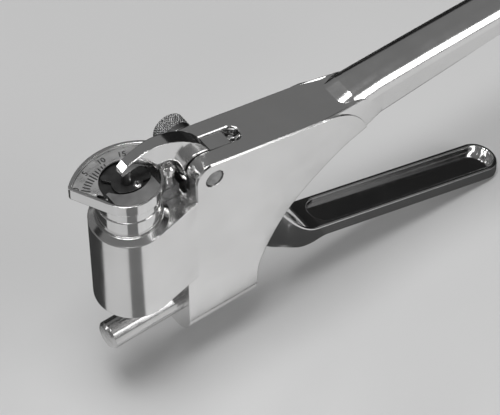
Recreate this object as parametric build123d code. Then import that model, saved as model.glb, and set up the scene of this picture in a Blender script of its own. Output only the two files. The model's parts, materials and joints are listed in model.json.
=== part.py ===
"""Plier-type pocket hardness tester, built as separate pieces around one frame casting.

Millimetres. +Z is up, +X runs from the barrel towards the grips, +Y is the side that
carries the knurled thumb knob. The origin is the point where the axis of the vertical
barrel meets the axis of the horizontal anvil rod.
"""
import os
from math import atan2, cos, degrees, radians, sin

from build123d import *

# ---------------------------------------------------------------- driving dimensions
ANVIL_R = 4.76            # anvil rod, 3/8 in diameter
ANVIL_TIP_X = -11.3
ANVIL_END_X = 39.0
ANVIL_CHAMFER = 0.8
ANVIL_SHANK_X = 14.6      # behind this the rod is turned down to fit the foot
ANVIL_SHANK_R = 4.6

BARREL_R = 12.7           # 1 in barrel
BARREL_Z0 = 18.0
BARREL_Z1 = 54.9
BARREL_BORE_R = 10.25
BARREL_LIP_Z = 20.6       # top of the lip that carries the lift spring
BARREL_LIP_R = 5.06
SHOULDER_Z = 56.5         # raised, coned top around the bore
SHOULDER_R = 10.7
WEB_ANGLE = 12.2          # plan taper of the walls from barrel to cheeks

BODY_HALF_W = 8.93        # half width over the cheeks
CHEEK_FRONT_X = 19.06
CHEEK_BROW_R = 5.5        # rounding between the front and top of the cheeks
FOOT_FRONT_X = 15.1
FOOT_CENTRE_Z = -3.65     # centre line of the half-round foot
FOOT_REAR_X = 42.0
TOP_Z_AT_0 = 74.91        # top face of the cheeks: z = TOP_Z_AT_0 - TOP_SLOPE * x
TOP_SLOPE = 0.222
TOP_END_X = 79.0

PIVOT_X = 25.95
PIVOT_Z = 62.2
PIN_R = 3.25
PIN_HOLE_R = 3.3
PIN_NEAR_Y = -8.65        # the pin ends just inside its hole
KNOB_R = 5.6
KNOB_Y0 = 9.25
KNOB_Y1 = 16.7
KNURL_Y0 = 12.0
KNURL_COUNT = 34
KNURL_DEPTH = 0.45

SLOT_HALF_W = 3.1
SLOT_FRONT_X = 17.7
SLOT_REAR_X = 41.3
LEVER_HALF_W = 2.85
HUB_R = 6.3
TONGUE_HALF_W = 1.3
TAIL_SINK = 0.8           # the arm's tail lies this far below the top of the cheeks
SLOT_RIM = 0.35           # bevel round the top of the slot
RIVET_R = 1.5
RIVET_POINTS = [(29.6, 51.6), (33.4, 44.6)]

HANDLE_HALF_W = 7.0
RIM_EASE = 0.5            # bevel along the upper rims of the cheeks
FADE_DEPTH = 1.85         # the cheek pads slope down by this much behind their rear arc
HANDLE_TOP_Z = 60.0
HANDLE_END_X = 177.0
SHOULDER_R_TOP = 5.0      # rounding along the top and the bottom of the handle
SHOULDER_R_LOW = 1.2

GRIP_HALF_W = 7.0
GRIP_TIP_X = 151.0
GRIP_SLOPE = 0.325        # the lower grip falls this much per millimetre of x
GRIP_WALL = 1.7
GRIP_DEPTH = 5.0
GRIP_LIP_R = 0.6          # rounding of the grip's upper edges

SLEEVE_R = 10.2
SLEEVE_Z0 = 32.0
SLEEVE_Z1 = 63.25
NECK_R = 9.85
NOSE_R = 5.0
NOSE_Z = 11.2
HEAD_R = 11.05
HEAD_Z0 = 67.65
HEAD_Z1 = 72.35
CUP_R = 10.3
CUP_FLOOR_Z = 69.2
FAN_ARC_CENTRE = (-0.75, -10.0)
FAN_ARC_R = 23.9
FAN_CORNER_X = 15.75      # half width of the fan, measured from its own centre line
FAN_CORNER_Y = 7.2
FAN_RIM = 0.95
FAN_FLOOR_Z = 70.55
SCALE_TOP_Z = 71.15
SCALE_INNER_R = 8.6
DIAL_PIVOT = (-2.3, -6.3)
SCALE_ZERO_DEG = 133.0
SCALE_FULL_DEG = 44.0

BRIDGE_R = 4.8            # plate that carries the load nut above the pointer
BRIDGE_Z0 = 70.2
BRIDGE_Z1 = 71.0
BRIDGE_LEG_R = 1.0
BRIDGE_LEGS = [(-4.6, 5.2), (6.3, -1.5)]   # both outside the pointer's sweep
LOAD_NUT_R = 1.6
LOAD_NUT_TOP_Z = 76.3
LOCK_SCREW_R = 1.3
LOCK_SCREW_AT = (1.84, -2.95)
NEEDLE_R = 1.5
NEEDLE_OUT = 0.55         # how far the indenter stands out of the nose at rest

KEY_HALF_W = 2.5
KEYWAY_HALF_W = 2.62
KEY_X1 = 17.1
KEY_Z0 = 50.9
KEY_Z1 = 59.9
KEYWAY_Z0 = 44.4

LIFT_SPRING_R = 7.6
LIFT_SPRING_WIRE_R = 0.6
LOAD_SPRING_R = 4.4
LOAD_SPRING_WIRE_R = 0.75
RETURN_SPRING_X = 38.5
RETURN_SPRING_R = 1.45
RETURN_SPRING_WIRE_R = 0.35


# ------------------------------------------------------------------ small shape tools
def upright_plate(outline, y0, y1):
    """Plate standing in the XZ plane, from y0 to y1, with a closed outline."""
    return extrude(Plane.XZ.offset(-y1) * outline, amount=y1 - y0)


def polygon(points):
    return make_face(Polyline(*points, close=True))


def flat_plate(outline, z0, z1):
    """Plate lying in the XY plane, from z0 to z1."""
    return extrude(Pos(0, 0, z0) * outline, amount=z1 - z0)


def turned(points, x=0.0, y=0.0):
    """Part turned about a vertical axis; points are (radius, z)."""
    profile = Plane.XZ * polygon(points)
    return Pos(x, y, 0) * revolve(profile, axis=Axis.Z)


def upright_rod(r, z0, z1, x=0.0, y=0.0):
    return Pos(x, y, (z0 + z1) / 2) * Cylinder(r, z1 - z0)


def cross_rod(r, x, z, y0, y1):
    """Rod along Y."""
    return Pos(x, (y0 + y1) / 2, z) * Rot(90, 0, 0) * Cylinder(r, y1 - y0)


def long_rod(r, x0, x1, z=0.0):
    """Rod along X."""
    return Pos((x0 + x1) / 2, 0, z) * Rot(0, 90, 0) * Cylinder(r, x1 - x0)


def block(x0, x1, y0, y1, z0, z1):
    centre = Pos((x0 + x1) / 2, (y0 + y1) / 2, (z0 + z1) / 2)
    return centre * Box(x1 - x0, y1 - y0, z1 - z0)


def coil(radius, wire_r, z0, z1, turns, x=0.0):
    """Round-wire coil whose wire stays between z0 and z1."""
    height = z1 - z0 - 2 * wire_r
    path = Pos(x, 0, z0 + wire_r) * Helix(pitch=height / turns, height=height, radius=radius)
    section = (path ^ 0) * Circle(wire_r)
    return sweep(section, path=path, is_frenet=True)


def bar_section(x, z0, z1, half_w):
    """Cross-section of the upper handle: well rounded on top, crisper below."""
    shape = Rectangle(2 * half_w, z1 - z0)
    upper = [v for v in shape.vertices() if v.Y > 0]
    shape = fillet(upper, SHOULDER_R_TOP)
    lower = [v for v in shape.vertices() if v.Y < (z0 - z1) / 2 + 0.01]
    shape = fillet(lower, SHOULDER_R_LOW)
    plane = Plane(origin=(x, 0, (z0 + z1) / 2), x_dir=(0, 1, 0), z_dir=(1, 0, 0))
    return plane * shape


def top_z(x):
    """Height of the sloping top face of the cheeks."""
    return TOP_Z_AT_0 - TOP_SLOPE * x


def grip_z(x):
    """Height of the upper edge of the lower grip."""
    return 2.9 - GRIP_SLOPE * (x - 69.0)


# ------------------------------------------------------------------------ frame body
def cheek_outline(low, mid, high_x, ease=0.0):
    """Side outline of the cheeks; low, mid and high_x place the arc where they end."""
    foot_z = FOOT_CENTRE_Z - BODY_HALF_W
    front_x = CHEEK_FRONT_X + ease
    rear = Spline(
        (FOOT_REAR_X + 0.3, 2.0), (45.1, 11.4), (51.0, 21.6), (58.9, 30.2), (70.6, 38.6), low,
        tangents=[(0.05, 1), (1, 0.3)],
    )
    outline = make_face([
        Line((FOOT_FRONT_X, 30.0), (FOOT_FRONT_X, foot_z)),
        Line((FOOT_FRONT_X, foot_z), (40.4, foot_z)),
        Line((40.4, foot_z), (FOOT_REAR_X, -10.2)),
        Line((FOOT_REAR_X, -10.2), (FOOT_REAR_X + 0.3, 2.0)),
        rear,
        ThreePointArc(low, mid, (high_x, top_z(high_x) - ease)),
        Line((high_x, top_z(high_x) - ease), (front_x, top_z(front_x) - ease)),
        Line((front_x, top_z(front_x) - ease), (front_x, 30.0)),
        Line((front_x, 30.0), (FOOT_FRONT_X, 30.0)),
    ])
    brow = [v for v in outline.vertices() if v.X < 21.0 and v.Y > 60.0]
    return fillet(brow, CHEEK_BROW_R)


def on_slot_rim(point):
    """True for a point where the slot's wall meets the top of the cheeks."""
    level = abs(point.Z - top_z(point.X)) < 0.02
    return level and abs(point.Y) < SLOT_HALF_W + 0.1 and SLOT_FRONT_X < point.X < SLOT_REAR_X + 0.3


def frame_body():
    """One casting: barrel, foot, two cheeks with the lever slot, and the upper handle."""
    # the flat cheeks end in an arc and fade into the narrower handle behind it
    core = cheek_outline((93.0, 46.1), (90.2, 53.0), TOP_END_X)
    pad = cheek_outline((85.1, 44.9), (81.0, 52.7), 67.5)
    eased_pad = cheek_outline((85.1, 44.9), (81.0, 52.7), 67.5, ease=RIM_EASE)
    core_half_w = BODY_HALF_W - FADE_DEPTH
    body = upright_plate(core, -core_half_w, core_half_w)
    for side in (-1, 1):
        layers = [
            Plane.XZ.offset(side * core_half_w) * core,
            Plane.XZ.offset(side * (BODY_HALF_W - RIM_EASE)) * pad,
            Plane.XZ.offset(side * BODY_HALF_W) * eased_pad,
        ]
        body += loft(layers, ruled=True)

    # half-round underside of the foot
    corner = block(FOOT_FRONT_X - 1, 44.0, -10, 10, -13.5, FOOT_CENTRE_Z)
    corner -= long_rod(BODY_HALF_W, FOOT_FRONT_X - 2, 46.0, FOOT_CENTRE_Z)
    body -= corner

    # barrel, and the walls that run from it to the cheeks in plan
    tangent_x = BARREL_R * sin(radians(WEB_ANGLE))
    tangent_y = BARREL_R * cos(radians(WEB_ANGLE))
    web = polygon([
        (tangent_x, tangent_y), (CHEEK_FRONT_X, BODY_HALF_W), (CHEEK_FRONT_X + 1, BODY_HALF_W),
        (CHEEK_FRONT_X + 1, -BODY_HALF_W), (CHEEK_FRONT_X, -BODY_HALF_W), (tangent_x, -tangent_y),
    ])
    barrel = turned([
        (0, BARREL_Z0), (BARREL_R - 0.5, BARREL_Z0), (BARREL_R, BARREL_Z0 + 0.5),
        (BARREL_R, BARREL_Z1 - 0.25), (BARREL_R - 0.4, BARREL_Z1),
        (SHOULDER_R, SHOULDER_Z), (0, SHOULDER_Z),
    ])
    body += barrel + flat_plate(web, BARREL_Z0, BARREL_Z1 - 0.05)

    # upper handle: rounded-shoulder bar growing out of the cheeks
    stations = [
        # x, bottom z, top z, half width
        (72.0, 42.0, 56.4, 7.9),
        (82.0, 44.2, 59.0, 7.5),
        (93.0, 44.9, HANDLE_TOP_Z - 0.2, HANDLE_HALF_W + 0.1),
        (112.0, 46.6, HANDLE_TOP_Z + 0.2, HANDLE_HALF_W),
        (141.0, 49.2, HANDLE_TOP_Z + 0.5, HANDLE_HALF_W - 0.1),
        (HANDLE_END_X, 50.8, HANDLE_TOP_Z + 0.9, HANDLE_HALF_W - 0.2),
    ]
    handle = loft([bar_section(*station) for station in stations], ruled=True)
    end_rim = [e for e in handle.edges() if e.center().X > stations[-1][0] - 0.01]
    body += fillet(end_rim, SHOULDER_R_LOW - 0.2)

    # bores of the barrel
    body -= upright_rod(BARREL_BORE_R, BARREL_LIP_Z, SHOULDER_Z + 1)
    body -= upright_rod(BARREL_LIP_R, BARREL_Z0 - 1, BARREL_LIP_Z + 1)
    body -= block(0, SLOT_FRONT_X + 0.2, -KEYWAY_HALF_W, KEYWAY_HALF_W, KEYWAY_Z0, SHOULDER_Z + 1)

    # lever slot: open at the front and top, and out through the rear edge
    slot = upright_plate(
        polygon([
            (SLOT_FRONT_X, 58.0), (18.6, 53.5), (29.6, 30.5), (42.0, 8.4), (46.0, 0.0),
            (70.0, 24.0), (66.5, 32.6), (53.5, 42.6), (SLOT_REAR_X - 0.4, 54.5),
            (SLOT_REAR_X - SLOT_HALF_W, 57.0), (SLOT_REAR_X - SLOT_HALF_W, 80.0), (SLOT_FRONT_X, 80.0),
        ]),
        -SLOT_HALF_W, SLOT_HALF_W,
    )
    slot += upright_rod(SLOT_HALF_W, 54.5, 80.0, x=SLOT_REAR_X - SLOT_HALF_W)
    body -= slot
    rim = [e for e in body.edges() if all(on_slot_rim(e @ t) for t in (0.0, 0.5, 1.0))]
    body = chamfer(rim, SLOT_RIM)

    # cross holes and the anvil bore
    body -= cross_rod(PIN_HOLE_R, PIVOT_X, PIVOT_Z, -12, 12)
    body -= cross_rod(1.0, RETURN_SPRING_X, 57.4, -6.0, 6.0)
    body -= long_rod(ANVIL_SHANK_R + 0.02, FOOT_FRONT_X - 1, ANVIL_END_X + 0.5)
    body -= upright_rod(2.0, -13.5, 0.0, x=28.0)
    return body


# ------------------------------------------------------------------------------ anvil
def anvil_rod():
    """Anvil rod: free end for the work, then a shank held in the foot by a screw."""
    rod = long_rod(ANVIL_R, ANVIL_TIP_X, ANVIL_SHANK_X)
    rod += long_rod(ANVIL_SHANK_R, ANVIL_SHANK_X, ANVIL_END_X)
    ends = [e for e in rod.edges() if e.geom_type == GeomType.CIRCLE]
    ends = [e for e in ends if abs(e.center().X - ANVIL_SHANK_X) > 0.5]
    rod = chamfer(ends, ANVIL_CHAMFER)
    return rod - upright_rod(2.1, -6.0, -4.0, x=28.0)


def anvil_set_screw():
    screw = upright_rod(1.96, -10.6, -4.05, x=28.0)
    return screw - flat_plate(Pos(28.0, 0) * RegularPolygon(1.1, 6), -10.7, -8.6)


# --------------------------------------------------------------------- pivot pin, knob
def pivot_pin():
    pin = cross_rod(PIN_R, PIVOT_X, PIVOT_Z, PIN_NEAR_Y, KNOB_Y1 - 2.4)
    near_end = [e for e in pin.edges() if e.center().Y < PIN_NEAR_Y + 0.1]
    return chamfer(near_end, 0.5)


def thumb_knob():
    """Knurled head pressed on the far end of the pivot pin."""
    knob = cross_rod(KNOB_R, PIVOT_X, PIVOT_Z, KNOB_Y0, KNOB_Y1)
    rims = [e for e in knob.edges() if e.geom_type == GeomType.CIRCLE]
    knob = chamfer(rims, 0.5)
    for i in range(KNURL_COUNT):
        angle = 360.0 / KNURL_COUNT * i
        offset = KNOB_R + 0.22
        x = PIVOT_X + offset * cos(radians(angle))
        z = PIVOT_Z + offset * sin(radians(angle))
        knob -= cross_rod(KNURL_DEPTH, x, z, KNURL_Y0, KNOB_Y1 + 1)
    return knob - cross_rod(PIN_R, PIVOT_X, PIVOT_Z, KNOB_Y0 - 1, KNOB_Y1 - 2.4)


def spring_anchor_pin():
    return cross_rod(1.0, RETURN_SPRING_X, 57.4, -5.9, 5.9)


# ------------------------------------------------------------------------------ lever
def lever_bush():
    bush = cross_rod(4.3, PIVOT_X, PIVOT_Z, -LEVER_HALF_W, LEVER_HALF_W)
    return bush - cross_rod(PIN_R + 0.04, PIVOT_X, PIVOT_Z, -4, 4)


def arm_tongue(clearance):
    """Leg of the presser arm that is riveted between the fork of the lower grip."""
    half = TONGUE_HALF_W + clearance
    grow = clearance
    return upright_plate(
        polygon([
            (25.0 - grow, 60.0), (33.6 + grow, 56.5), (38.6 + grow, 45.4),
            (34.0, 39.6 - grow), (28.4 - grow, 42.6),
        ]),
        -half, half,
    )


def presser_arm():
    """Arched arm: chisel tip over the dial, hub on the pivot pin, short tail in the slot."""
    top = Spline(
        (-0.5, 80.1), (4.0, 81.7), (8.0, 82.35), (11.5, 81.9), (15.0, 80.7),
        (18.5, 78.9), (21.6, 76.7), (25.0, 73.4), (28.5, 68.2),
    )
    under = Spline(
        (19.7, 62.4), (18.9, 65.2), (17.9, 68.6), (16.4, 71.4), (14.4, 73.0), (11.6, 73.7),
    )
    tail_x = 36.6
    edges = [
        top,
        Line((28.5, 68.2), (tail_x, top_z(tail_x) - TAIL_SINK)),
        Line((tail_x, top_z(tail_x) - TAIL_SINK), (tail_x, 63.8)),
        Line((tail_x, 63.8), (31.4, 62.4)),
        Line((31.4, 62.4), (19.7, 62.4)),
        under,
        Spline((11.6, 73.7), (9.4, 74.0), (7.3, 74.8), (5.2, 76.5), (3.4, 77.8)),
        Line((3.4, 77.8), (-2.6, 76.6)),
        Line((-2.6, 76.6), (-2.35, 78.4)),
        Line((-2.35, 78.4), (-0.5, 80.1)),
    ]
    arm = upright_plate(make_face(edges), -LEVER_HALF_W, LEVER_HALF_W)
    arm += cross_rod(HUB_R, PIVOT_X, PIVOT_Z, -LEVER_HALF_W, LEVER_HALF_W)

    # in plan the arm narrows from the hub to the tip
    plan = polygon([
        (-4.0, 1.6), (8.0, 1.9), (19.0, 2.5), (22.0, LEVER_HALF_W), (42.0, LEVER_HALF_W),
        (42.0, -LEVER_HALF_W), (22.0, -LEVER_HALF_W), (19.0, -2.5), (8.0, -1.9), (-4.0, -1.6),
    ])
    arm &= flat_plate(plan, 50.0, 90.0)

    # hook for the return spring
    arm += block(tail_x - 1.0, RETURN_SPRING_X + 0.5, -0.6, 0.6, 64.0, 64.9)
    arm += arm_tongue(0.0)
    arm -= cross_rod(4.3, PIVOT_X, PIVOT_Z, -4, 4)
    for x, z in RIVET_POINTS:
        arm -= cross_rod(RIVET_R, x, z, -4, 4)
    return arm


def on_grip_top(point):
    return point.X > 68.9 and abs(point.Z - grip_z(point.X)) < 0.02


def lower_grip():
    """Squeeze handle: forked web in the slot, flaring to a channelled grip."""
    top = Spline(
        (34.0, 57.4), (45.0, 36.5), (53.0, 22.0), (58.6, 12.6), (62.4, 7.4), (69.0, grip_z(69.0)),
        tangents=[(0.5, -0.9), (1, -GRIP_SLOPE)],
    )
    bottom = Spline(
        (72.0, grip_z(72.0) - GRIP_DEPTH), (65.0, -3.3), (59.5, -3.4), (55.9, -1.9), (50.9, 2.1),
        (44.6, 10.6), (31.6, 34.5), (20.6, 57.0),
        tangents=[(-1, GRIP_SLOPE * 0.6), (-0.45, 0.9)],
    )
    edges = [
        top,
        Line((69.0, grip_z(69.0)), (GRIP_TIP_X, grip_z(GRIP_TIP_X))),
        Line((GRIP_TIP_X, grip_z(GRIP_TIP_X)), (GRIP_TIP_X, grip_z(GRIP_TIP_X) - GRIP_DEPTH)),
        Line((GRIP_TIP_X, grip_z(GRIP_TIP_X) - GRIP_DEPTH), (72.0, grip_z(72.0) - GRIP_DEPTH)),
        bottom,
        Line((20.6, 57.0), (34.0, 57.4)),
    ]
    grip = upright_plate(make_face(edges), -GRIP_HALF_W, GRIP_HALF_W)

    def plan_edges(half_root, half_grip, tip_x):
        upper = Spline(
            (54.0, half_root), (60.5, (half_root + half_grip) / 2 + 0.2), (68.0, half_grip),
            tangents=[(1, 0), (1, 0)],
        )
        lower = Spline(
            (68.0, -half_grip), (60.5, -(half_root + half_grip) / 2 - 0.2), (54.0, -half_root),
            tangents=[(-1, 0), (-1, 0)],
        )
        return [
            Line((15.0, half_root), (54.0, half_root)), upper,
            Line((68.0, half_grip), (tip_x - half_grip, half_grip)),
            ThreePointArc((tip_x - half_grip, half_grip), (tip_x, 0), (tip_x - half_grip, -half_grip)),
            Line((tip_x - half_grip, -half_grip), (68.0, -half_grip)), lower,
            Line((54.0, -half_root), (15.0, -half_root)), Line((15.0, -half_root), (15.0, half_root)),
        ]

    plan = flat_plate(make_face(plan_edges(LEVER_HALF_W, GRIP_HALF_W, GRIP_TIP_X)), -40.0, 70.0)
    grip &= plan

    # long channel in the upper face of the grip
    inner = GRIP_HALF_W - GRIP_WALL
    channel = upright_plate(
        polygon([
            (70.0, grip_z(70.0) + 8.0), (70.0, grip_z(70.0) - 2.4),
            (GRIP_TIP_X, grip_z(GRIP_TIP_X) - 3.0), (GRIP_TIP_X, grip_z(GRIP_TIP_X) + 8.0),
        ]),
        -inner, inner,
    )
    channel_plan = Pos((70.0 + GRIP_TIP_X - GRIP_WALL) / 2, 0) * SlotOverall(
        GRIP_TIP_X - GRIP_WALL - 70.0, 2 * inner
    )
    grip -= channel & flat_plate(channel_plan, -40.0, 20.0)
    lip = [e for e in grip.edges() if all(on_grip_top(e @ t) for t in (0.0, 0.5, 1.0))]
    grip = fillet(lip, GRIP_LIP_R)

    grip -= cross_rod(HUB_R + 0.25, PIVOT_X, PIVOT_Z, -4, 4)
    grip -= arm_tongue(0.04)
    for x, z in RIVET_POINTS:
        grip -= cross_rod(RIVET_R, x, z, -4, 4)
    return grip


def lever_rivets():
    rivets = [cross_rod(RIVET_R, x, z, -LEVER_HALF_W, LEVER_HALF_W) for x, z in RIVET_POINTS]
    return Compound(children=rivets)


def return_spring():
    """Extension spring from the anchor pin up to the hook on the arm's tail."""
    return coil(RETURN_SPRING_R, RETURN_SPRING_WIRE_R, 58.5, 63.9, 5, x=RETURN_SPRING_X)


# ---------------------------------------------------------------------------- housing
def housing():
    """Sliding sleeve with a slim nose; holds the load spring and the indenter."""
    outer = turned([
        (0, NOSE_Z), (NOSE_R - 0.5, NOSE_Z), (NOSE_R, NOSE_Z + 0.5), (NOSE_R, SLEEVE_Z0),
        (SLEEVE_R, SLEEVE_Z0), (SLEEVE_R, SLEEVE_Z1 - 0.2), (SLEEVE_R - 0.2, SLEEVE_Z1),
        (NECK_R, SLEEVE_Z1), (NECK_R, HEAD_Z0), (0, HEAD_Z0),
    ])
    outer -= upright_rod(6.4, 34.0, HEAD_Z0 + 1)
    outer -= upright_rod(NEEDLE_R + 0.03, NOSE_Z - 1, 35.0)
    # flat seat for the guide key
    outer -= block(9.3, 12.0, -KEY_HALF_W - 0.05, KEY_HALF_W + 0.05, KEY_Z0, KEY_Z1)
    return outer


def guide_key():
    """Key that runs in the keyway of the barrel and stops the housing from turning."""
    key = block(9.3, KEY_X1, -KEY_HALF_W, KEY_HALF_W, KEY_Z0, KEY_Z1)
    key -= upright_rod(1.6, KEY_Z1 - 5.0, KEY_Z1 + 1, x=14.6)
    return key


def key_post():
    """Domed screw standing on the guide key, under the hollow of the presser arm."""
    post = turned([
        (0, KEY_Z1 - 4.6), (1.56, KEY_Z1 - 4.6), (1.56, KEY_Z1), (1.9, KEY_Z1), (1.9, 65.4),
        (2.55, 65.4), (2.6, 66.6), (2.3, 67.7), (1.5, 68.4), (0, 68.7),
    ], x=14.6)
    return post - block(10.0, 19.0, -0.3, 0.3, 67.8, 70.0)


# -------------------------------------------------------------------------- dial head
def fan_outline(inset):
    """Plan outline of the dial head: a disc with a fan-shaped sector on the far side."""
    cx, cy = FAN_ARC_CENTRE
    corner_y = FAN_CORNER_Y
    left = (cx - FAN_CORNER_X, corner_y)
    right = (cx + FAN_CORNER_X, corner_y)
    disc = Circle(HEAD_R)
    fan = make_face([
        ThreePointArc(left, (cx, cy + FAN_ARC_R), right),
        Line(right, (9.6, -5.47)), Line((9.6, -5.47), (-9.6, -5.47)), Line((-9.6, -5.47), left),
    ])
    shape = disc + fan
    corners = [v for v in shape.vertices() if v.Y > corner_y - 0.5]
    shape = fillet(corners, 1.4)
    return offset(shape, amount=-inset) if inset > 0 else shape


def dial_head():
    head = flat_plate(fan_outline(0.0), HEAD_Z0, HEAD_Z1)
    bottom = [e for e in head.edges() if e.center().Z < HEAD_Z0 + 0.01]
    head = fillet(bottom, 0.5)
    head -= flat_plate(fan_outline(FAN_RIM), FAN_FLOOR_Z, HEAD_Z1 + 1)
    head -= upright_rod(CUP_R, CUP_FLOOR_Z, HEAD_Z1 + 1)
    head -= upright_rod(2.5, HEAD_Z0 - 1, CUP_FLOOR_Z + 1)
    x, y = DIAL_PIVOT
    head -= upright_rod(0.75, HEAD_Z0 - 1, CUP_FLOOR_Z + 1, x=x, y=y)
    return head


def scale_plate():
    """Printed sector plate; its ends are radial to the pointer's axis."""
    x, y = DIAL_PIVOT
    far = 40.0
    wedge = polygon([
        (x, y),
        (x + far * cos(radians(SCALE_ZERO_DEG + 3)), y + far * sin(radians(SCALE_ZERO_DEG + 3))),
        (x, y + far * 1.6),
        (x + far * cos(radians(SCALE_FULL_DEG - 6)), y + far * sin(radians(SCALE_FULL_DEG - 6))),
    ])
    sector = (fan_outline(FAN_RIM + 0.08) & wedge) - Circle(SCALE_INNER_R)
    return flat_plate(sector, FAN_FLOOR_Z, SCALE_TOP_Z)


def dial_floor():
    """Black disc on the floor of the cup."""
    x, y = DIAL_PIVOT
    disc = upright_rod(CUP_R - 0.1, CUP_FLOOR_Z, CUP_FLOOR_Z + 0.35)
    disc -= upright_rod(2.5, CUP_FLOOR_Z - 1, CUP_FLOOR_Z + 1)
    disc -= upright_rod(0.75, CUP_FLOOR_Z - 1, CUP_FLOOR_Z + 1, x=x, y=y)
    return disc


def pointer_guard():
    """Crescent plate over the pointer's bearing, on two short pillars."""
    crescent = Circle(9.95) - Pos(1.4, 4.9) * Circle(9.3)
    crescent &= Pos(0, -10.2) * Rectangle(15.2, 20.4)
    guard = flat_plate(crescent, 70.25, 70.6)
    for x, y in ((3.4, -8.2), (-7.0, -6.2)):
        guard += upright_rod(0.7, CUP_FLOOR_Z + 0.35, 70.3, x=x, y=y)
    return guard


def pointer():
    """Black hand on its arbor, lying at the zero mark."""
    x, y = DIAL_PIVOT
    hand = polygon([(-1.8, -0.55), (0.0, -0.75), (9.9, -0.2), (9.9, 0.2), (0.0, 0.75), (-1.8, 0.55)])
    blade = flat_plate(hand, 69.75, 69.98)
    blade += upright_rod(1.2, 69.7, 70.1)
    blade += upright_rod(0.7, 67.8, 69.8)
    return Pos(x, y, 0) * Rot(0, 0, SCALE_ZERO_DEG) * blade


def load_bridge():
    """Black bridge over the pointer's sweep; its boss carries the load nut."""
    plate = Circle(BRIDGE_R) & (Pos(1.4, 4.9) * Circle(9.05))
    for x, y in BRIDGE_LEGS:
        reach = (x * x + y * y) ** 0.5
        turn = degrees(atan2(y, x))
        plate += Rot(0, 0, turn) * Pos(reach / 2, 0) * Rectangle(reach, 2.4)
        plate += Pos(x, y) * Circle(1.2)
    bridge = flat_plate(plate, BRIDGE_Z0, BRIDGE_Z1)
    for x, y in BRIDGE_LEGS:
        bridge += upright_rod(BRIDGE_LEG_R, CUP_FLOOR_Z + 0.35, BRIDGE_Z0 + 0.1, x=x, y=y)
    bridge -= upright_rod(LOAD_NUT_R + 0.04, BRIDGE_Z0 - 1, BRIDGE_Z1 + 1)
    x, y = LOCK_SCREW_AT
    return bridge - upright_rod(0.7, BRIDGE_Z0 - 1, BRIDGE_Z1 + 1, x=x, y=y)


def lock_screw():
    """Bright slotted screw beside the load nut; it locks the nut's setting."""
    x, y = LOCK_SCREW_AT
    top = BRIDGE_Z1 + 0.95
    screw = turned([
        (0, BRIDGE_Z0), (0.66, BRIDGE_Z0), (0.66, BRIDGE_Z1), (LOCK_SCREW_R, BRIDGE_Z1),
        (LOCK_SCREW_R, top - 0.4), (LOCK_SCREW_R - 0.2, top - 0.15), (0.6, top), (0, top),
    ], x=x, y=y)
    slot = Pos(x, y, top) * Rot(0, 0, 62) * Box(3.0, 0.35, 0.7)
    return screw - slot


def stop_pin():
    """Peg that the pointer rests against at zero."""
    return upright_rod(0.35, CUP_FLOOR_Z + 0.35, 70.3, x=-8.35, y=-0.95 - 0.55)


def load_nut():
    """Adjusting nut on the axis: the arm presses its domed top."""
    r = LOAD_NUT_R
    return turned([
        (0, BRIDGE_Z0), (r, BRIDGE_Z0), (r, 75.3), (r - 0.35, 75.9), (0.6, 76.25),
        (0, LOAD_NUT_TOP_Z),
    ])


def spring_seat():
    """Flanged plug that joins the dial head to the sleeve and seats the load spring."""
    return turned([
        (0, 60.0), (5.9, 60.0), (5.9, 62.0), (2.44, 62.0), (2.44, CUP_FLOOR_Z + 0.2),
        (0, CUP_FLOOR_Z + 0.2),
    ])


def load_spring():
    return coil(LOAD_SPRING_R, LOAD_SPRING_WIRE_R, 37.2, 59.9, 8)


def indenter():
    """Hardened needle with the flange that the load spring bears on."""
    tip_z = NOSE_Z - NEEDLE_OUT
    return turned([
        (0, tip_z), (0.2, tip_z), (NEEDLE_R, tip_z + 2.2), (NEEDLE_R, 34.35), (5.8, 34.35),
        (5.8, 37.0), (0, 37.0),
    ])


def lift_spring():
    """Compression spring under the sleeve that raises the housing again."""
    return coil(LIFT_SPRING_R, LIFT_SPRING_WIRE_R, BARREL_LIP_Z + 0.05, SLEEVE_Z0 - 0.05, 3.5)


NODES = {
    "frame_body": frame_body,
    "anvil_rod": anvil_rod,
    "anvil_set_screw": anvil_set_screw,
    "spring_anchor_pin": spring_anchor_pin,
    "lift_spring": lift_spring,
    "return_spring": return_spring,
    "pivot_pin": pivot_pin,
    "thumb_knob": thumb_knob,
    "presser_arm": presser_arm,
    "lower_grip": lower_grip,
    "lever_bush": lever_bush,
    "lever_rivets": lever_rivets,
    "housing": housing,
    "guide_key": guide_key,
    "key_post": key_post,
    "dial_head": dial_head,
    "dial_floor": dial_floor,
    "scale_plate": scale_plate,
    "pointer_guard": pointer_guard,
    "stop_pin": stop_pin,
    "load_bridge": load_bridge,
    "lock_screw": lock_screw,
    "load_nut": load_nut,
    "spring_seat": spring_seat,
    "load_spring": load_spring,
    "indenter": indenter,
    "pointer": pointer,
}

os.makedirs("parts", exist_ok=True)
for name, build in NODES.items():
    shape = build()
    shape.label = name
    export_step(shape, f"parts/{name}.step")
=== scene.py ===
# Studio picture of a pliers-type hardness tester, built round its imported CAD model.
# Metres, in the CAD frame: origin where the barrel axis meets the anvil rod axis, +X to
# the grips, +Y to the knurled knob, +Z up. Numbers in materials are in millimetres.
import json
import math

import bmesh
import bpy
from mathutils import Matrix, Vector


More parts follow.
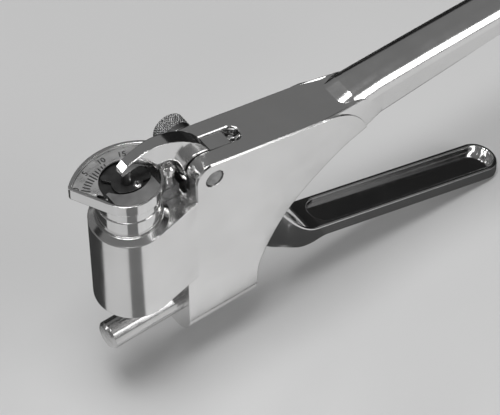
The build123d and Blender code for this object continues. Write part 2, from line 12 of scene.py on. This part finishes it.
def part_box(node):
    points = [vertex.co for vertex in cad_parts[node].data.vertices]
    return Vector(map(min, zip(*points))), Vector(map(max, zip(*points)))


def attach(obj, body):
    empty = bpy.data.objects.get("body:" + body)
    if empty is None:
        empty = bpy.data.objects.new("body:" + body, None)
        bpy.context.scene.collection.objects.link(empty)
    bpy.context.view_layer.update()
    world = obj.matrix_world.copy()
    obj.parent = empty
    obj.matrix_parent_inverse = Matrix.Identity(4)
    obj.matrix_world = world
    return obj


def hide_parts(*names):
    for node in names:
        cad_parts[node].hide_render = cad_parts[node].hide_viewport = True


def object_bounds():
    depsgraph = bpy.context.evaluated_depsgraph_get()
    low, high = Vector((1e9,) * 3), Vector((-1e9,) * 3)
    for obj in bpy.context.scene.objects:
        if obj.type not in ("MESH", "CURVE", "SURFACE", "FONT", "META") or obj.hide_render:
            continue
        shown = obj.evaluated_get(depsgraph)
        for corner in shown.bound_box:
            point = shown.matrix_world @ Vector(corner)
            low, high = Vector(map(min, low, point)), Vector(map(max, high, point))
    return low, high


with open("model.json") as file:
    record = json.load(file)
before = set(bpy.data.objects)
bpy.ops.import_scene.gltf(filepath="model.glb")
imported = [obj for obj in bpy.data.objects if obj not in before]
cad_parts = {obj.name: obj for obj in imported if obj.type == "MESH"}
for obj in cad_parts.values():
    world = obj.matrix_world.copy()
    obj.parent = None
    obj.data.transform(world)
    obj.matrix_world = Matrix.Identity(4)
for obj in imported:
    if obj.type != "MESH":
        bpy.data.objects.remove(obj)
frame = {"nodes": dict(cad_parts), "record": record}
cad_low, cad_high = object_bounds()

MM = 0.001
SHARP_FACING = 0.80       # cosine between true and rounded normal on a fully worn edge
FLAT_FACING = 0.995       # and where no wear shows
scene = bpy.context.scene


# ------------------------------------------------------------------ node graph helpers
class Graph:
    """A material's node tree with one Principled shader."""

    def __init__(self, name):
        self.material = bpy.data.materials.new(name)
        self.material.use_nodes = True
        self.tree = self.material.node_tree
        self.shader = self.tree.nodes["Principled BSDF"]

    def add(self, kind, inputs=None, **settings):
        made = self.tree.nodes.new(kind)
        for key, value in settings.items():
            setattr(made, key, value)
        for key, value in (inputs or {}).items():
            self.feed(made, key, value)
        return made

    def feed(self, node, key, value):
        """Sets a node's input, from another node's socket or to a plain value."""
        if isinstance(value, bpy.types.NodeSocket):
            self.tree.links.new(value, node.inputs[key])
        else:
            node.inputs[key].default_value = value

    def link(self, output, key):
        self.tree.links.new(output, self.shader.inputs[key])

    def millimetres(self, stretch=(1.0, 1.0, 1.0)):
        """Object coordinates in millimetres; stretch below 1 draws a texture out."""
        coords = self.add("ShaderNodeTexCoord").outputs["Object"]
        scale = tuple(s / MM for s in stretch)
        return self.add("ShaderNodeMapping", {"Vector": coords, "Scale": scale}).outputs[0]

    def noise(self, per_mm, detail=3.0, rough=0.5, stretch=(1.0, 1.0, 1.0)):
        """Noise from 0 to 1 with per_mm features in a millimetre."""
        return self.add("ShaderNodeTexNoise", {
            "Vector": self.millimetres(stretch), "Scale": per_mm,
            "Detail": detail, "Roughness": rough}).outputs["Fac"]

    def ramp(self, value, low, high, start=0.3, end=0.7):
        """Maps value from start..end to low..high."""
        return self.add("ShaderNodeMapRange", {
            "Value": value, "From Min": start, "From Max": end,
            "To Min": low, "To Max": high}).outputs[0]

    def maths(self, operation, a, b):
        return self.add("ShaderNodeMath", {0: a, 1: b}, operation=operation).outputs[0]

    def mix(self, factor, a, b):
        """Blend of colours a and b, whose sockets are numbered among those of all types."""
        made = self.add("ShaderNodeMix", {0: factor, 6: a, 7: b}, data_type="RGBA")
        return made.outputs[2]

    def softened(self, radius):
        """Normal rounded over every sharp edge, as real machined edges are."""
        return self.add("ShaderNodeBevel", {"Radius": radius * MM}, samples=6).outputs[0]

    def edges(self, radius):
        """About 1 on sharp edges and 0 on flat ground, where handling wears a finish."""
        soft = self.softened(radius)
        plain = self.add("ShaderNodeNewGeometry").outputs["Normal"]
        facing = self.add("ShaderNodeVectorMath", {0: soft, 1: plain},
                          operation="DOT_PRODUCT").outputs["Value"]
        return self.ramp(facing, 1.0, 0.0, SHARP_FACING, FLAT_FACING)

    def bump(self, layers, radius):
        """Chains height layers of (value, height in mm) on an edge-rounded normal."""
        normal = self.softened(radius)
        for value, height in layers:
            normal = self.add("ShaderNodeBump", {
                "Height": value, "Distance": height * MM, "Strength": 1.0,
                "Normal": normal}).outputs[0]
        self.link(normal, "Normal")


def grey(value, tint=0.0):
    """Neutral grey; a positive tint warms it and a negative one cools it."""
    return (value * (1.0 + tint), value, value * (1.0 - tint), 1.0)


def metal(name, tone, spread=0.05, tint=0.0, rough=(0.1, 0.2), patch=0.08,
          peel=(0.9, 0.004), lines=None, edge=0.22, wear=None):
    """Bare, plated or blackened metal.

    tone and spread set its reflectance, rough the limits of its roughness over patches,
    patch the patches per mm, peel the (features per mm, height) of its surface, lines the
    (stretch, per mm, height) of grinding marks, edge the rounding of sharp edges in mm and
    wear the tone that shows through on worn edges.
    """
    g = Graph(name)
    clouds = g.ramp(g.noise(patch, 4.0), 0.0, 1.0)
    colour = g.mix(clouds, grey(tone - spread, tint), grey(tone + spread, tint))
    smudge = g.noise(patch * 2.6, 5.0, 0.6)
    roughness = g.ramp(smudge, rough[0], rough[1])
    layers = [(g.noise(peel[0], 3.0), peel[1])]
    if lines:
        stretch, per_mm, height = lines
        marks = g.noise(per_mm, 2.0, 0.6, stretch)
        layers.append((marks, height))
        streak = g.ramp(marks, -0.05, 0.07)
        roughness = g.maths("ADD", roughness, streak)
    if wear:
        uneven = g.ramp(g.noise(0.9, 4.0), 0.25, 1.0)
        rubbed = g.maths("MULTIPLY", g.edges(edge * 1.4), uneven)
        colour = g.mix(rubbed, colour, grey(wear))
    g.link(colour, "Base Color")
    g.link(roughness, "Roughness")
    g.shader.inputs["Metallic"].default_value = 1.0
    g.bump(layers, edge)
    return g.material


def enamel(name, tone, rough=(0.22, 0.4), peel=(0.7, 0.006), edge=0.15):
    """Black lacquer, slightly wavy, with dust-dulled patches."""
    g = Graph(name)
    dust = g.ramp(g.noise(0.35, 5.0, 0.6), 0.0, 1.0, 0.35, 0.75)
    g.link(g.mix(dust, grey(tone), grey(tone * 2.4)), "Base Color")
    g.link(g.ramp(g.noise(0.22, 4.0), rough[0], rough[1]), "Roughness")
    g.shader.inputs["Specular IOR Level"].default_value = 0.6
    g.bump([(g.noise(peel[0], 3.0), peel[1]), (g.noise(6.0, 2.0), peel[1] * 0.3)], edge)
    return g.material


# ------------------------------------------------------------------ finishes by slot
ALONG_X = (0.04, 1.0, 1.0)
ALONG_Z = (1.0, 1.0, 0.04)

FINISHES = {
    "plated_casting": metal("plated_casting", 0.80, 0.03, 0.004, rough=(0.13, 0.22),
                            patch=0.05, peel=(0.75, 0.007), edge=0.3),
    "ground_steel": metal("ground_steel", 0.66, 0.04, 0.004, rough=(0.16, 0.26),
                          peel=(1.4, 0.002), lines=(ALONG_X, 5.0, 0.0015), edge=0.2),
    "chromed_steel": metal("chromed_steel", 0.80, 0.03, 0.002, rough=(0.07, 0.15),
                           patch=0.09, peel=(0.8, 0.005), edge=0.35),
    "blackened_steel": metal("blackened_steel", 0.16, 0.04, 0.0, rough=(0.3, 0.45),
                             patch=0.4, peel=(2.0, 0.004), edge=0.22, wear=0.85),
    "black_enamel": enamel("black_enamel", 0.012),
    "scale_silver": metal("scale_silver", 0.74, 0.03, 0.003, rough=(0.26, 0.36),
                          patch=0.16, peel=(4.0, 0.002), lines=(ALONG_X, 8.0, 0.002),
                          edge=0.08),
    "guard_steel": metal("guard_steel", 0.24, 0.04, 0.0, rough=(0.42, 0.55), patch=0.2,
                         peel=(3.0, 0.003), edge=0.08),
    "spring_steel": metal("spring_steel", 0.55, 0.05, 0.0, rough=(0.18, 0.3), patch=0.5,
                          peel=(3.0, 0.003), lines=(ALONG_Z, 5.0, 0.002), edge=0.05),
    "bearing_bronze": metal("bearing_bronze", 0.45, 0.06, 0.32, rough=(0.25, 0.4),
                            patch=0.4, peel=(3.0, 0.004), edge=0.1),
    "hardened_steel": metal("hardened_steel", 0.30, 0.08, 0.0, rough=(0.25, 0.4),
                            patch=0.4, peel=(3.0, 0.002), edge=0.05),
}

for part in frame["record"]["subparts"]:
    for slot in frame["nodes"][part["node"]].material_slots:
        slot.material = FINISHES[part["material_slot"]]


# ------------------------------------------------------------------ mesh helpers
def piece(name, mesh, slot, body, smooth_deg=35.0):
    """Links a finished mesh, gives it its slot's finish and lets it ride on its body."""
    made = bpy.data.objects.new(name, mesh)
    scene.collection.objects.link(made)
    mesh.materials.clear()
    mesh.materials.append(FINISHES[slot])
    mesh.shade_smooth()
    mesh.set_sharp_from_angle(angle=math.radians(smooth_deg))
    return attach(made, body)


def mesh_from(name, verts, faces):
    mesh = bpy.data.meshes.new(name)
    mesh.from_pydata([Vector(v) for v in verts], [], faces)
    mesh.validate()
    return mesh


# ------------------------------------------------------------------ dial graduations
HAND_AXIS = Vector((-2.3, -6.3)) * MM     # the pointer's axis, in plan
ZERO_DEG = 133.0                          # bearing of the scale's zero from that axis
STEP_DEG = 4.45                           # clockwise, from one division to the next
DIVISIONS = 20
NUMBERED = 5                              # every fifth division has a long tick and a number
LONG_TICK = (12.8, 15.75)                 # inner and outer radius in mm
SHORT_TICK = (13.2, 15.6)
TICK_WIDTH = 0.42 * MM
TICK_TRIM = 0.05 * MM                     # step by which a tick is shortened
TICK_SHORTEST = 0.5 * MM
NUMBER_RADIUS = 17.25 * MM
NUMBER_HEIGHT = 1.9 * MM
CAPITAL = 0.69                            # height of the built-in face's capitals, in em
NUMBER_BOLD = 0.02                        # thickening of the strokes, of the height
INK = 0.025 * MM                          # thickness of the print
WELD = 0.002 * MM
CUP_CLEAR = 8.75 * MM                     # ticks stop short of the scale's inner edge
SCALE_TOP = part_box("scale_plate")[1].z


def bar(verts, faces, a, b, width):
    """Adds a thin printed bar from a to b, standing on the scale."""
    along = (b - a).normalized()
    side = Vector((-along.y, along.x)) * width / 2
    first = len(verts)
    for z in (SCALE_TOP, SCALE_TOP + INK):
        for corner in (a - side, b - side, b + side, a + side):
            verts.append((corner.x, corner.y, z))
    quads = [(3, 2, 1, 0), (4, 5, 6, 7), (0, 1, 5, 4), (1, 2, 6, 5), (2, 3, 7, 6), (3, 0, 4, 7)]
    faces.extend(tuple(first + i for i in quad) for quad in quads)


def numeral(text, centre, turn_deg, height):
    """Mesh of a printed number, in place."""
    curve = bpy.data.curves.new("numeral", "FONT")
    curve.body = text
    curve.size = height / CAPITAL
    curve.align_x = "CENTER"
    curve.align_y = "CENTER"
    curve.extrude = INK / 2
    curve.resolution_u = 5
    curve.offset = NUMBER_BOLD * height
    holder = bpy.data.objects.new("numeral", curve)
    scene.collection.objects.link(holder)
    bpy.context.view_layer.update()
    made = bpy.data.meshes.new_from_object(
        holder.evaluated_get(bpy.context.evaluated_depsgraph_get()))
    bpy.data.objects.remove(holder)
    made.transform(Matrix.Translation((centre.x, centre.y, SCALE_TOP + INK / 2))
                   @ Matrix.Rotation(math.radians(turn_deg), 4, "Z"))
    return made


def graduations():
    """Ticks and numbers of the scale as one mesh."""
    verts, faces = [], []
    for k in range(DIVISIONS + 1):
        angle = math.radians(ZERO_DEG - STEP_DEG * k)
        out = Vector((math.cos(angle), math.sin(angle)))
        inner, outer = LONG_TICK if k % NUMBERED == 0 else SHORT_TICK
        a, b = HAND_AXIS + out * inner * MM, HAND_AXIS + out * outer * MM
        while a.length < CUP_CLEAR:
            a += out * TICK_TRIM
        if (b - a).dot(out) > TICK_SHORTEST:
            bar(verts, faces, a, b, TICK_WIDTH)
    work = bmesh.new()
    work.from_mesh(mesh_from("bars", verts, faces))
    for value in range(0, DIVISIONS + 1, NUMBERED):
        angle_deg = ZERO_DEG - STEP_DEG * value
        angle = math.radians(angle_deg)
        centre = HAND_AXIS + Vector((math.cos(angle), math.sin(angle))) * NUMBER_RADIUS
        work.from_mesh(numeral(str(value), centre, angle_deg - 90.0, NUMBER_HEIGHT))
    bmesh.ops.remove_doubles(work, verts=work.verts, dist=WELD)
    bmesh.ops.recalc_face_normals(work, faces=work.faces)
    mesh = bpy.data.meshes.new("dial_graduations")
    work.to_mesh(mesh)
    work.free()
    return mesh


piece("dial_graduations", graduations(), "black_enamel", "gauge")


# ------------------------------------------------------------------ knurled knob
KNURL_TEETH = 34
KNURL_DEPTH = 0.45 * MM
KNURL_STEPS = 8                           # points across one tooth
KNURL_SLOPE = 1.6                         # above 1, the diamonds get flat tops
COLLAR = 2.75 * MM                        # plain band beside the cheek
KNOB_CHAMFER = 0.5 * MM
GROOVE = 0.3 * MM                         # depth of the groove between band and knurl


def knob_mesh():
    """Diamond-knurled head, turned about an axis along Y, with the pin's blind bore."""
    low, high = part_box("thumb_knob")
    pin_low, pin_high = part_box("pivot_pin")
    axis_x, axis_z = (low.x + high.x) / 2, (low.z + high.z) / 2
    radius = (high.z - low.z) / 2
    bore = (pin_high.z - pin_low.z) / 2
    chamfer = KNOB_CHAMFER
    around = KNURL_TEETH * KNURL_STEPS
    pitch = 2 * math.pi * radius / KNURL_TEETH
    knurl_start = low.y + COLLAR
    knurl_length = high.y - chamfer - low.y - COLLAR

    # stations along the axis: (y, radius, share of the full knurl)
    stations = [(low.y, bore, 0.0), (low.y, radius - chamfer, 0.0),
                (low.y + chamfer, radius, 0.0), (knurl_start - 0.35 * MM, radius, 0.0),
                (knurl_start - 0.2 * MM, radius - GROOVE, 0.0),
                (knurl_start, radius - GROOVE, 0.0)]
    rows = int(knurl_length / pitch * KNURL_STEPS)
    for i in range(rows + 1):
        stations.append((knurl_start + knurl_length * i / rows, radius, 1.0))
    stations += [(high.y - chamfer * 0.45, radius - chamfer * 0.5, 0.4),
                 (high.y, radius - chamfer * 1.1, 0.0),
                 (high.y, radius * 0.45, 0.0), (high.y, radius * 0.1, 0.0)]

    verts, faces = [], []
    for y, r, knurl in stations:
        for j in range(around):
            turn = 2 * math.pi * j / around
            u = j / KNURL_STEPS + y / pitch
            v = j / KNURL_STEPS - y / pitch
            ridge = min(abs((u % 1.0) - 0.5), abs((v % 1.0) - 0.5)) * 2.0
            here = r - knurl * KNURL_DEPTH * (1.0 - min(1.0, ridge * KNURL_SLOPE))
            verts.append((axis_x + here * math.cos(turn), y, axis_z + here * math.sin(turn)))
    for i in range(len(stations) - 1):
        for j in range(around):
            k = (j + 1) % around
            faces.append((i * around + j, i * around + k,
                          (i + 1) * around + k, (i + 1) * around + j))
    last = (len(stations) - 1) * around
    faces.append(tuple(last + j for j in range(around)))
    depth = len(verts)
    for j in range(around):
        turn = 2 * math.pi * j / around
        verts.append((axis_x + bore * math.cos(turn), pin_high.y, axis_z + bore * math.sin(turn)))
    for j in range(around):
        k = (j + 1) % around
        faces.append((j, depth + j, depth + k, k))
    faces.append(tuple(depth + j for j in reversed(range(around))))
    mesh = mesh_from("knurled_knob", verts, faces)
    work = bmesh.new()
    work.from_mesh(mesh)
    bmesh.ops.recalc_face_normals(work, faces=work.faces)
    work.to_mesh(mesh)
    work.free()
    return mesh


knob = piece("knurled_knob", knob_mesh(), "blackened_steel", "pin", smooth_deg=24.0)
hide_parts("thumb_knob")


# ------------------------------------------------------------------ floor
FLOOR_SIDE = 8.0


def floor_finish():
    g = Graph("studio_paper")
    tone = g.ramp(g.noise(0.004, 3.0), 0.0, 1.0)
    g.link(g.mix(tone, grey(0.63), grey(0.65)), "Base Color")
    g.link(g.ramp(g.noise(0.02, 3.0), 0.75, 0.85), "Roughness")
    g.shader.inputs["Specular IOR Level"].default_value = 0.2
    g.link(g.add("ShaderNodeBump", {"Height": g.noise(0.5, 3.0),
                                    "Distance": 0.01 * MM}).outputs[0], "Normal")
    return g.material


def make_floor():
    half = FLOOR_SIDE / 2
    z = cad_low.z
    corners = [(-half, -half, z), (half, -half, z), (half, half, z), (-half, half, z)]
    mesh = mesh_from("floor", corners, [(0, 1, 2, 3)])
    mesh.materials.append(floor_finish())
    made = bpy.data.objects.new("floor", mesh)
    scene.collection.objects.link(made)


make_floor()


# ------------------------------------------------------------------ light
TARGET = Vector((30.0, 0.0, 30.0)) * MM
NEAR_ZENITH = (-0.12, -0.03, 1.0)         # directions of the lamps, seen from the target
BACK_LEFT = (-0.79, 0.50, 0.36)
FRONT_RIGHT = (0.47, -0.76, 0.40)
ROOM_GREY = 0.17


def softbox(name, toward, distance, size, power):
    """Rectangular lamp in the direction toward, seen from the target, facing it."""
    lamp = bpy.data.lights.new(name, "AREA")
    lamp.shape = "RECTANGLE"
    lamp.size, lamp.size_y = size
    lamp.energy = power
    made = bpy.data.objects.new(name, lamp)
    scene.collection.objects.link(made)
    away = Vector(toward).normalized()
    made.location = TARGET + away * distance
    made.rotation_euler = (-away).to_track_quat("-Z", "Y").to_euler()


softbox("key_overhead", NEAR_ZENITH, 1.1, (0.5, 0.5), 8.5)
softbox("rim_back_left", BACK_LEFT, 0.9, (0.16, 0.18), 0.5)
softbox("edge_front_right", FRONT_RIGHT, 1.0, (0.34, 0.62), 2.8)


def card(name, corners, tone, shades=False):
    """Matt card out of the camera's sight, for polished metal to reflect; the corners are
    in millimetres, and it casts a shadow only if shades is set."""
    g = Graph(name)
    g.link(g.mix(g.noise(0.05, 2.0), grey(tone * 0.9), grey(tone * 1.1)), "Base Color")
    g.link(g.ramp(g.noise(0.05, 2.0), 0.85, 0.95), "Roughness")
    g.shader.inputs["Specular IOR Level"].default_value = 0.0
    mesh = mesh_from(name, [Vector(c) * MM for c in corners], [tuple(range(len(corners)))])
    mesh.materials.append(g.material)
    made = bpy.data.objects.new(name, mesh)
    scene.collection.objects.link(made)
    made.visible_camera = False
    made.visible_diffuse = False
    made.visible_shadow = shades


def flag(name, point, toward, distance, half):
    """Small upright black flag that keeps a lamp's glare off one point of the object."""
    away = Vector(toward).normalized()
    centre = Vector(point) + away * distance
    side = Vector((-away.y, away.x, 0.0)).normalized() * half
    corners = [centre + side * i + Vector((0.0, 0.0, half * 0.8)) * j
               for i, j in ((-1, -1), (1, -1), (1, 1), (-1, 1))]
    card(name, corners, 0.02, shades=True)


def on_floor(plan, lift=0.5):
    """Corners of a card lying just over the floor."""
    return [(x, y, cad_low.z / MM + lift) for x, y in plan]


def sector(first_deg, last_deg, near, far, steps=8):
    """Plan corners of a ring sector about the barrel's axis."""
    turns = [math.radians(first_deg + (last_deg - first_deg) * i / steps)
             for i in range(steps + 1)]
    outer = [(far * math.cos(t), far * math.sin(t)) for t in turns]
    inner = [(near * math.cos(t), near * math.sin(t)) for t in reversed(turns)]
    return outer + inner


def standing(first_deg, last_deg, far, high):
    """Corners of an upright card across a span of bearings from the barrel."""
    low = cad_low.z / MM
    a, b = [(far * math.cos(math.radians(t)), far * math.sin(math.radians(t)))
            for t in (first_deg, last_deg)]
    return [(*a, low), (*b, low), (*b, low + high), (*a, low + high)]


WALL_FAR = 900.0
WALL_HIGH = 335.0

card("card_barrel_stripe", on_floor(sector(-129.0, -95.0, 25.0, 320.0)), 0.17)
card("card_back", on_floor(sector(58.0, 160.0, 30.0, 600.0)), 0.05)
card("card_right_floor", on_floor(sector(-10.0, 58.0, 190.0, 640.0)), 0.03)
card("card_foot_line", on_floor([(10, -23.0), (95, -23.0), (95, -18.5), (10, -18.5)], 1.0), 0.04)
card("card_grip", on_floor([(60, -8), (62, -26), (65, -31), (79, -39), (100, -44), (165, -40),
                            (172, -4), (90, -4)], 1.5), 0.09)
card("card_fork", [(54, -10, -10), (75, -10, -10), (75, -25, -10), (60, -25, -10),
                   (54, -20.5, -10)], 0.08)
card("card_right", standing(-12.0, 80.0, WALL_FAR, WALL_HIGH), 0.02)
card("card_right_front", standing(-38.0, -12.0, WALL_FAR, WALL_HIGH), 0.02)
card("card_front_white", on_floor(sector(-95.0, -25.0, 25.0, 330.0)), 0.72)
card("card_left_white", on_floor(sector(160.0, 231.0, 25.0, 330.0)), 0.62)

flag("flag_shoulder_left", (-11.3, -2.0, 55.7), BACK_LEFT, 70.0, 13.0)
flag("flag_shoulder_right", (4.5, -10.6, 55.7), FRONT_RIGHT, 60.0, 14.0)

world = bpy.data.worlds.new("studio")
world.use_nodes = True
world.node_tree.nodes["Background"].inputs["Color"].default_value = grey(ROOM_GREY)
scene.world = world
scene.view_settings.view_transform = "Standard"
scene.view_settings.look = "None"


# ------------------------------------------------------------------ camera
CAMERA_PLACE = Vector((-248.93, -402.11, 661.56)) * MM
CAMERA_RIGHT = Vector((0.8067, -0.5910, 0.0)).normalized()
CAMERA_BACK = Vector((-0.3640, -0.4968, 0.7878)).normalized()
LENS_MM = 181.84
SENSOR_MM = 36.0


def make_camera():
    lens = bpy.data.cameras.new("camera")
    lens.sensor_width = SENSOR_MM
    lens.lens = LENS_MM
    lens.clip_start = 0.02
    lens.clip_end = 50.0
    made = bpy.data.objects.new("camera", lens)
    scene.collection.objects.link(made)
    up = CAMERA_BACK.cross(CAMERA_RIGHT)
    turn = Matrix((CAMERA_RIGHT, up, CAMERA_BACK)).transposed()
    made.matrix_world = Matrix.Translation(CAMERA_PLACE) @ turn.to_4x4()
    scene.camera = made


make_camera()
